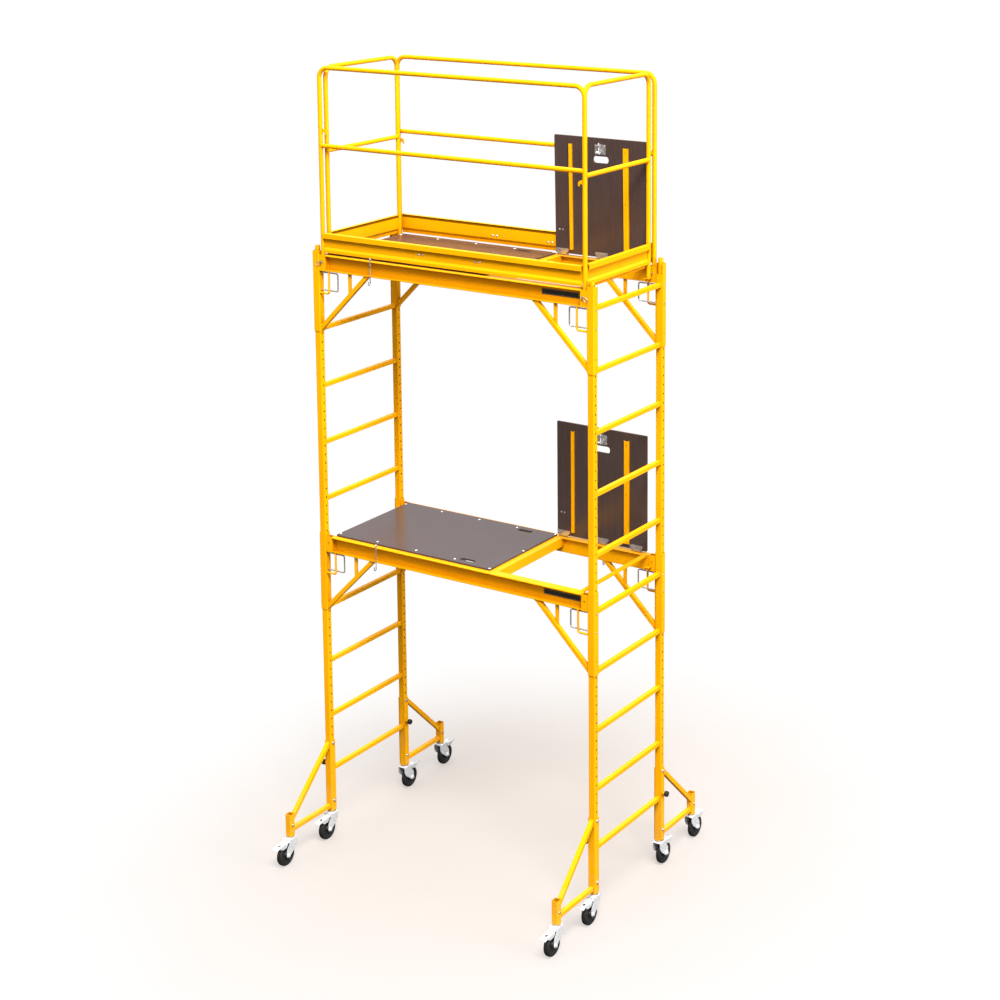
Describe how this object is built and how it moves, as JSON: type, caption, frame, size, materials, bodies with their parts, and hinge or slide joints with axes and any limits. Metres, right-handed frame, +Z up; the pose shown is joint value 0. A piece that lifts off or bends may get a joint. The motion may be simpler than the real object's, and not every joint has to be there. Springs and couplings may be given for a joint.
{
  "type": "baker scaffold",
  "caption": "Two-level rolling steel baker scaffold with hatch platforms, top guardrails, toe boards, outriggers and braked swivel casters.",
  "frame": {"origin": "centre of the footprint, on the ground", "axes": "+Z up; +X along the long side towards the hatch end; +Y across, towards the side where the hatches are hinged"},
  "size_m": [1.9436, 1.7092, 4.5732],
  "materials": {
    "yellow_powder_coat": "semi-gloss powder coat",
    "film_faced_plywood": "glossy dark brown phenolic film",
    "hatch_ironwork": "yellow stiffeners with zinc plated hinge leaves, latch plate and screws",
    "zinc_plated_steel": "bright zinc plate",
    "black_plastic": "satin",
    "black_rubber": "matte tread on a black moulded core"
  },
  "bodies": {
    "tower": {"left_lower_end_frame": "yellow_powder_coat", "left_upper_end_frame": "yellow_powder_coat", "right_lower_end_frame": "yellow_powder_coat", "right_upper_end_frame": "yellow_powder_coat", "lower_platform_frame": "yellow_powder_coat", "upper_platform_frame": "yellow_powder_coat", "lower_deck_panel": "film_faced_plywood", "upper_deck_panel": "film_faced_plywood", "front_guardrail": "yellow_powder_coat", "back_guardrail": "yellow_powder_coat", "left_guardrail": "yellow_powder_coat", "right_guardrail": "yellow_powder_coat", "toe_boards": "yellow_powder_coat", "zinc_hardware": "zinc_plated_steel", "front_left_outrigger": "yellow_powder_coat", "front_right_outrigger": "yellow_powder_coat", "back_left_outrigger": "yellow_powder_coat", "back_right_outrigger": "yellow_powder_coat"},
    "lower_hatch": {"lower_hatch_panel": "film_faced_plywood", "lower_hatch_ironwork": "hatch_ironwork"},
    "lower_hatch_latch": {"lower_hatch_latch": "zinc_plated_steel"},
    "upper_hatch": {"upper_hatch_panel": "film_faced_plywood", "upper_hatch_ironwork": "hatch_ironwork"},
    "upper_hatch_latch": {"upper_hatch_latch": "zinc_plated_steel"},
    "lower_front_left_lock_pin": {"lower_front_left_lock_pin": "zinc_plated_steel"},
    "lower_front_right_lock_pin": {"lower_front_right_lock_pin": "zinc_plated_steel"},
    "lower_back_left_lock_pin": {"lower_back_left_lock_pin": "zinc_plated_steel"},
    "lower_back_right_lock_pin": {"lower_back_right_lock_pin": "zinc_plated_steel"},
    "upper_front_left_lock_pin": {"upper_front_left_lock_pin": "zinc_plated_steel"},
    "upper_front_right_lock_pin": {"upper_front_right_lock_pin": "zinc_plated_steel"},
    "upper_back_left_lock_pin": {"upper_back_left_lock_pin": "zinc_plated_steel"},
    "upper_back_right_lock_pin": {"upper_back_right_lock_pin": "zinc_plated_steel"},
    "front_left_outrigger_knob": {"front_left_outrigger_knob": "black_plastic"},
    "front_right_outrigger_knob": {"front_right_outrigger_knob": "black_plastic"},
    "back_left_outrigger_knob": {"back_left_outrigger_knob": "black_plastic"},
    "back_right_outrigger_knob": {"back_right_outrigger_knob": "black_plastic"},
    "front_left_inner_caster_fork": {"front_left_inner_caster_fork": "zinc_plated_steel"},
    "front_left_inner_caster_wheel": {"front_left_inner_caster_wheel": "black_rubber"},
    "front_left_inner_caster_brake_pedal": {"front_left_inner_caster_brake_pedal": "zinc_plated_steel"},
    "front_left_outer_caster_fork": {"front_left_outer_caster_fork": "zinc_plated_steel"},
    "front_left_outer_caster_wheel": {"front_left_outer_caster_wheel": "black_rubber"},
    "front_left_outer_caster_brake_pedal": {"front_left_outer_caster_brake_pedal": "zinc_plated_steel"},
    "front_right_inner_caster_fork": {"front_right_inner_caster_fork": "zinc_plated_steel"},
    "front_right_inner_caster_wheel": {"front_right_inner_caster_wheel": "black_rubber"},
    "front_right_inner_caster_brake_pedal": {"front_right_inner_caster_brake_pedal": "zinc_plated_steel"},
    "front_right_outer_caster_fork": {"front_right_outer_caster_fork": "zinc_plated_steel"},
    "front_right_outer_caster_wheel": {"front_right_outer_caster_wheel": "black_rubber"},
    "front_right_outer_caster_brake_pedal": {"front_right_outer_caster_brake_pedal": "zinc_plated_steel"},
    "back_left_inner_caster_fork": {"back_left_inner_caster_fork": "zinc_plated_steel"},
    "back_left_inner_caster_wheel": {"back_left_inner_caster_wheel": "black_rubber"},
    "back_left_inner_caster_brake_pedal": {"back_left_inner_caster_brake_pedal": "zinc_plated_steel"},
    "back_left_outer_caster_fork": {"back_left_outer_caster_fork": "zinc_plated_steel"},
    "back_left_outer_caster_wheel": {"back_left_outer_caster_wheel": "black_rubber"},
    "back_left_outer_caster_brake_pedal": {"back_left_outer_caster_brake_pedal": "zinc_plated_steel"},
    "back_right_inner_caster_fork": {"back_right_inner_caster_fork": "zinc_plated_steel"},
    "back_right_inner_caster_wheel": {"back_right_inner_caster_wheel": "black_rubber"},
    "back_right_inner_caster_brake_pedal": {"back_right_inner_caster_brake_pedal": "zinc_plated_steel"},
    "back_right_outer_caster_fork": {"back_right_outer_caster_fork": "zinc_plated_steel"},
    "back_right_outer_caster_wheel": {"back_right_outer_caster_wheel": "black_rubber"},
    "back_right_outer_caster_brake_pedal": {"back_right_outer_caster_brake_pedal": "zinc_plated_steel"}
  },
  "joints": [
    {"name": "lower_hatch_hinge", "type": "hinge", "parent": "tower", "child": "lower_hatch", "pos_m": [0.541, 0.343, 1.8602], "axis": [1, 0, 0], "range_deg": [0, 90]},
    {"name": "lower_hatch_latch_slide", "type": "slide", "parent": "lower_hatch", "child": "lower_hatch_latch", "axis": [0, 0, 1], "range_m": [0, 0.018]},
    {"name": "upper_hatch_hinge", "type": "hinge", "parent": "tower", "child": "upper_hatch", "pos_m": [0.541, 0.343, 3.5112], "axis": [1, 0, 0], "range_deg": [0, 88.9]},
    {"name": "upper_hatch_latch_slide", "type": "slide", "parent": "upper_hatch", "child": "upper_hatch_latch", "axis": [0, -0.0192, 0.9998], "range_m": [0, 0.018]},
    {"name": "lower_front_left_lock_pin_slide", "type": "slide", "parent": "tower", "child": "lower_front_left_lock_pin", "axis": [1, 0, 0], "range_m": [0, 0.046]},
    {"name": "lower_front_right_lock_pin_slide", "type": "slide", "parent": "tower", "child": "lower_front_right_lock_pin", "axis": [-1, 0, 0], "range_m": [0, 0.046]},
    {"name": "lower_back_left_lock_pin_slide", "type": "slide", "parent": "tower", "child": "lower_back_left_lock_pin", "axis": [1, 0, 0], "range_m": [0, 0.046]},
    {"name": "lower_back_right_lock_pin_slide", "type": "slide", "parent": "tower", "child": "lower_back_right_lock_pin", "axis": [-1, 0, 0], "range_m": [0, 0.046]},
    {"name": "upper_front_left_lock_pin_slide", "type": "slide", "parent": "tower", "child": "upper_front_left_lock_pin", "axis": [1, 0, 0], "range_m": [0, 0.046]},
    {"name": "upper_front_right_lock_pin_slide", "type": "slide", "parent": "tower", "child": "upper_front_right_lock_pin", "axis": [-1, 0, 0], "range_m": [0, 0.046]},
    {"name": "upper_back_left_lock_pin_slide", "type": "slide", "parent": "tower", "child": "upper_back_left_lock_pin", "axis": [1, 0, 0], "range_m": [0, 0.046]},
    {"name": "upper_back_right_lock_pin_slide", "type": "slide", "parent": "tower", "child": "upper_back_right_lock_pin", "axis": [-1, 0, 0], "range_m": [0, 0.046]},
    {"name": "front_left_outrigger_knob_pull", "type": "slide", "parent": "tower", "child": "front_left_outrigger_knob", "axis": [-1, 0, 0], "range_m": [0, 0.009], "stiffness_N_per_m": 600},
    {"name": "front_right_outrigger_knob_pull", "type": "slide", "parent": "tower", "child": "front_right_outrigger_knob", "axis": [-1, 0, 0], "range_m": [0, 0.009], "stiffness_N_per_m": 600},
    {"name": "back_left_outrigger_knob_pull", "type": "slide", "parent": "tower", "child": "back_left_outrigger_knob", "axis": [1, 0, 0], "range_m": [0, 0.009], "stiffness_N_per_m": 600},
    {"name": "back_right_outrigger_knob_pull", "type": "slide", "parent": "tower", "child": "back_right_outrigger_knob", "axis": [1, 0, 0], "range_m": [0, 0.009], "stiffness_N_per_m": 600},
    {"name": "front_left_inner_caster_swivel", "type": "hinge", "parent": "tower", "child": "front_left_inner_caster_fork", "pos_m": [-0.914, -0.35, 0.152], "axis": [0, 0, 1], "continuous": true},
    {"name": "front_left_inner_caster_roll", "type": "hinge", "parent": "front_left_inner_caster_fork", "child": "front_left_inner_caster_wheel", "pos_m": [-0.914, -0.396, 0.0635], "axis": [1, 0, 0], "continuous": true},
    {"name": "front_left_inner_caster_brake", "type": "hinge", "parent": "front_left_inner_caster_fork", "child": "front_left_inner_caster_brake_pedal", "pos_m": [-0.914, -0.383, 0.1385], "axis": [1, 0, 0], "range_deg": [0, 12]},
    {"name": "front_left_outer_caster_swivel", "type": "hinge", "parent": "tower", "child": "front_left_outer_caster_fork", "pos_m": [-0.914, -0.718, 0.152], "axis": [0, 0, 1], "continuous": true},
    {"name": "front_left_outer_caster_roll", "type": "hinge", "parent": "front_left_outer_caster_fork", "child": "front_left_outer_caster_wheel", "pos_m": [-0.914, -0.764, 0.0635], "axis": [1, 0, 0], "continuous": true},
    {"name": "front_left_outer_caster_brake", "type": "hinge", "parent": "front_left_outer_caster_fork", "child": "front_left_outer_caster_brake_pedal", "pos_m": [-0.914, -0.751, 0.1385], "axis": [1, 0, 0], "range_deg": [0, 12]},
    {"name": "front_right_inner_caster_swivel", "type": "hinge", "parent": "tower", "child": "front_right_inner_caster_fork", "pos_m": [0.914, -0.35, 0.152], "axis": [0, 0, 1], "continuous": true},
    {"name": "front_right_inner_caster_roll", "type": "hinge", "parent": "front_right_inner_caster_fork", "child": "front_right_inner_caster_wheel", "pos_m": [0.914, -0.396, 0.0635], "axis": [1, 0, 0], "continuous": true},
    {"name": "front_right_inner_caster_brake", "type": "hinge", "parent": "front_right_inner_caster_fork", "child": "front_right_inner_caster_brake_pedal", "pos_m": [0.914, -0.383, 0.1385], "axis": [1, 0, 0], "range_deg": [0, 12]},
    {"name": "front_right_outer_caster_swivel", "type": "hinge", "parent": "tower", "child": "front_right_outer_caster_fork", "pos_m": [0.914, -0.718, 0.152], "axis": [0, 0, 1], "continuous": true},
    {"name": "front_right_outer_caster_roll", "type": "hinge", "parent": "front_right_outer_caster_fork", "child": "front_right_outer_caster_wheel", "pos_m": [0.914, -0.764, 0.0635], "axis": [1, 0, 0], "continuous": true},
    {"name": "front_right_outer_caster_brake", "type": "hinge", "parent": "front_right_outer_caster_fork", "child": "front_right_outer_caster_brake_pedal", "pos_m": [0.914, -0.751, 0.1385], "axis": [1, 0, 0], "range_deg": [0, 12]},
    {"name": "back_left_inner_caster_swivel", "type": "hinge", "parent": "tower", "child": "back_left_inner_caster_fork", "pos_m": [-0.914, 0.35, 0.152], "axis": [0, 0, 1], "continuous": true},
    {"name": "back_left_inner_caster_roll", "type": "hinge", "parent": "back_left_inner_caster_fork", "child": "back_left_inner_caster_wheel", "pos_m": [-0.914, 0.396, 0.0635], "axis": [1, 0, 0], "continuous": true},
    {"name": "back_left_inner_caster_brake", "type": "hinge", "parent": "back_left_inner_caster_fork", "child": "back_left_inner_caster_brake_pedal", "pos_m": [-0.914, 0.383, 0.1385], "axis": [-1, 0, 0], "range_deg": [0, 12]},
    {"name": "back_left_outer_caster_swivel", "type": "hinge", "parent": "tower", "child": "back_left_outer_caster_fork", "pos_m": [-0.914, 0.718, 0.152], "axis": [0, 0, 1], "continuous": true},
    {"name": "back_left_outer_caster_roll", "type": "hinge", "parent": "back_left_outer_caster_fork", "child": "back_left_outer_caster_wheel", "pos_m": [-0.914, 0.764, 0.0635], "axis": [1, 0, 0], "continuous": true},
    {"name": "back_left_outer_caster_brake", "type": "hinge", "parent": "back_left_outer_caster_fork", "child": "back_left_outer_caster_brake_pedal", "pos_m": [-0.914, 0.751, 0.1385], "axis": [-1, 0, 0], "range_deg": [0, 12]},
    {"name": "back_right_inner_caster_swivel", "type": "hinge", "parent": "tower", "child": "back_right_inner_caster_fork", "pos_m": [0.914, 0.35, 0.152], "axis": [0, 0, 1], "continuous": true},
    {"name": "back_right_inner_caster_roll", "type": "hinge", "parent": "back_right_inner_caster_fork", "child": "back_right_inner_caster_wheel", "pos_m": [0.914, 0.396, 0.0635], "axis": [1, 0, 0], "continuous": true},
    {"name": "back_right_inner_caster_brake", "type": "hinge", "parent": "back_right_inner_caster_fork", "child": "back_right_inner_caster_brake_pedal", "pos_m": [0.914, 0.383, 0.1385], "axis": [-1, 0, 0], "range_deg": [0, 12]},
    {"name": "back_right_outer_caster_swivel", "type": "hinge", "parent": "tower", "child": "back_right_outer_caster_fork", "pos_m": [0.914, 0.718, 0.152], "axis": [0, 0, 1], "continuous": true},
    {"name": "back_right_outer_caster_roll", "type": "hinge", "parent": "back_right_outer_caster_fork", "child": "back_right_outer_caster_wheel", "pos_m": [0.914, 0.764, 0.0635], "axis": [1, 0, 0], "continuous": true},
    {"name": "back_right_outer_caster_brake", "type": "hinge", "parent": "back_right_outer_caster_fork", "child": "back_right_outer_caster_brake_pedal", "pos_m": [0.914, 0.751, 0.1385], "axis": [-1, 0, 0], "range_deg": [0, 12]}
  ]
}
